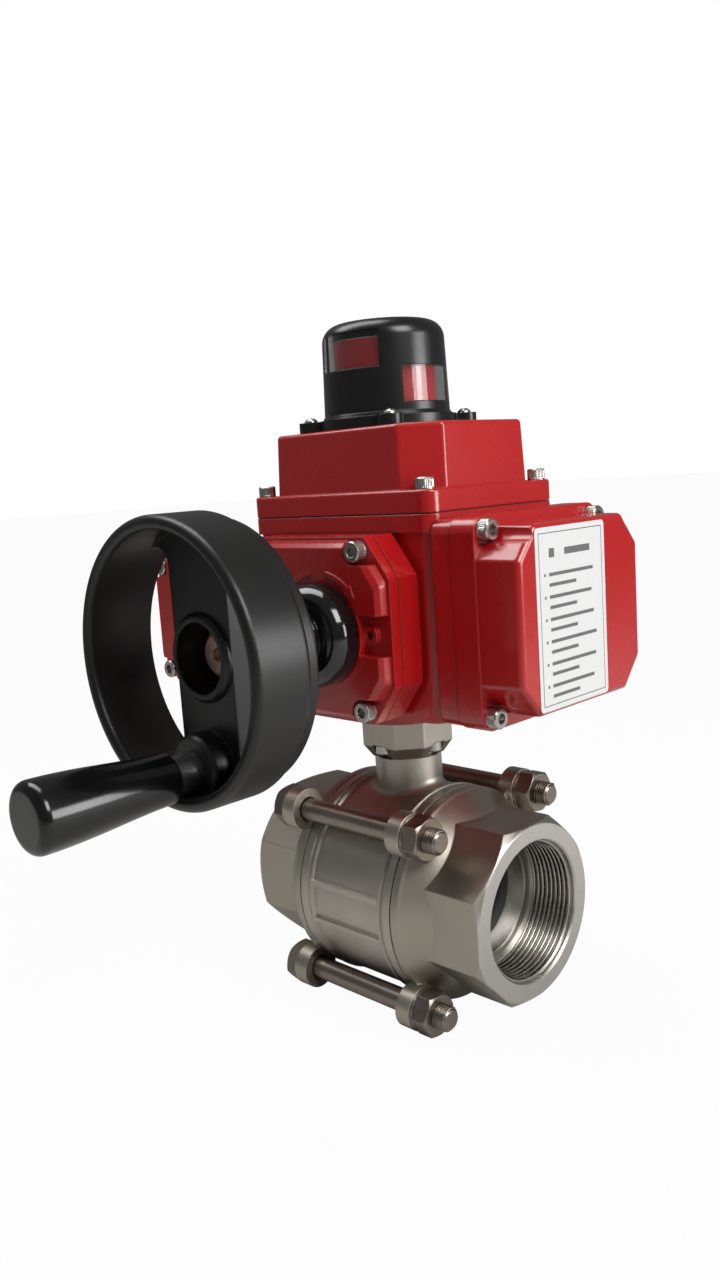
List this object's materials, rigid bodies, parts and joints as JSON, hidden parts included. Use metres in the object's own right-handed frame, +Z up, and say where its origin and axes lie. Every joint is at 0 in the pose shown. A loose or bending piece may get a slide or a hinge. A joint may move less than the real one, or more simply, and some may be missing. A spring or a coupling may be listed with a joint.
{
  "type": "motorized valve actuator",
  "caption": "Quarter-turn electric actuator with handwheel override and position indicator, bolted on a three-piece threaded ball valve.",
  "frame": {"origin": "where the pipe axis crosses the stem axis, at the centre of the ball", "axes": "+X along the pipe towards the wiring cover, +Z up the stem, -Y towards the handwheel's operator"},
  "size_m": [0.1983, 0.261, 0.2964],
  "materials": {
    "painted_red": "glossy enamel over cast aluminium",
    "cast_stainless": "satin investment casting",
    "polished_ball": "polished stainless steel",
    "machined_steel": "turned stainless steel",
    "screw_steel": "bright stainless fasteners",
    "seat_plastic": "white sealing plastic",
    "packing_plastic": "off-white packing",
    "gasket_rubber": "black sheet rubber",
    "bearing_bronze": "sintered bronze",
    "wheel_bronze": "cut bronze",
    "gear_steel": "hobbed steel",
    "motor_aluminium": "ribbed aluminium can",
    "capacitor_case": "bright drawn can",
    "plate_aluminium": "milled aluminium plate",
    "label_white": "white printed film",
    "cover_black": "satin black plastic",
    "lens_clear": "clear plastic",
    "drum_white": "white plastic",
    "flag_red": "red",
    "flag_yellow": "yellow",
    "cam_plastic": "orange plastic",
    "switch_black": "black plastic",
    "board_green": "lacquered circuit board",
    "terminal_grey": "grey plastic",
    "gland_black": "black nylon",
    "sleeve_black": "glossy black enamel",
    "wheel_black": "matte black powder coat",
    "grip_black": "glossy black plastic"
  },
  "bodies": {
    "housing": {"valve_body": "cast_stainless", "end_cap_right": "cast_stainless", "end_cap_left": "cast_stainless", "body_seals": "seat_plastic", "ball_seats": "seat_plastic", "thrust_washer": "seat_plastic", "stem_packing": "packing_plastic", "gland_nut": "machined_steel", "tie_bolts": "screw_steel", "tie_washers": "screw_steel", "tie_nuts": "screw_steel", "gear_case": "painted_red", "pad_screws": "screw_steel", "bearing_plate": "plate_aluminium", "lower_bush": "bearing_bronze", "upper_bush": "bearing_bronze", "worm_bearings": "bearing_bronze", "handwheel_bushes": "bearing_bronze", "motor_body": "motor_aluminium", "start_capacitor": "capacitor_case", "gear_cover": "painted_red", "gear_cover_gasket": "gasket_rubber", "gear_cover_screws": "screw_steel", "wiring_cover": "painted_red", "wiring_cover_gasket": "gasket_rubber", "wiring_cover_screws": "screw_steel", "label_plate": "label_white", "lid": "painted_red", "lid_gasket": "gasket_rubber", "lid_screws": "screw_steel", "indicator_cover": "cover_black", "indicator_lens": "lens_clear", "indicator_screws": "screw_steel", "switch_bracket": "plate_aluminium", "limit_switches": "switch_black", "control_board": "board_green", "terminal_block": "terminal_grey", "cable_glands": "gland_black", "shaft_sleeve": "sleeve_black"},
    "output": {"output_shaft": "machined_steel", "worm_wheel": "wheel_bronze", "valve_stem": "machined_steel", "ball": "polished_ball", "limit_cams": "cam_plastic", "indicator_drum": "drum_white", "closed_flags": "flag_red", "open_flags": "flag_yellow"},
    "worm": {"worm_shaft": "gear_steel", "worm_gear": "gear_steel"},
    "motor_rotor": {"motor_shaft": "machined_steel", "motor_pinion": "gear_steel"},
    "hand_drive": {"handwheel_shaft": "machined_steel", "handwheel_gear": "gear_steel", "handwheel": "wheel_black", "wheel_washer": "screw_steel", "wheel_bolt": "screw_steel", "handle_spindle": "machined_steel"},
    "grip": {"handle_grip": "grip_black"}
  },
  "joints": [
    {"name": "handwheel_turn", "type": "hinge", "parent": "housing", "child": "hand_drive", "pos_m": [0.012, -0.112, 0.124], "axis": [0, -1, 0], "range_deg": [0, 3600]},
    {"name": "worm_spin", "type": "hinge", "parent": "housing", "child": "worm", "pos_m": [-0.03, 0, 0.124], "axis": [0, 1, 0], "range_deg": [0, 3600]},
    {"name": "motor_spin", "type": "hinge", "parent": "housing", "child": "motor_rotor", "pos_m": [-0.0615, -0.03, 0.124], "axis": [0, 1, 0], "range_deg": [-7200, 0]},
    {"name": "output_turn", "type": "hinge", "parent": "housing", "child": "output", "pos_m": [0, 0, 0.124], "axis": [0, 0, 1], "range_deg": [0, 90]},
    {"name": "grip_spin", "type": "hinge", "parent": "hand_drive", "child": "grip", "pos_m": [0.012, -0.165, 0.084], "axis": [0, -1, 0], "continuous": true}
  ],
  "couplings": [
    {"joint": "worm_spin", "follows": "handwheel_turn", "ratio": 1},
    {"joint": "motor_spin", "follows": "handwheel_turn", "ratio": -2},
    {"joint": "output_turn", "follows": "handwheel_turn", "ratio": 0.025}
  ]
}
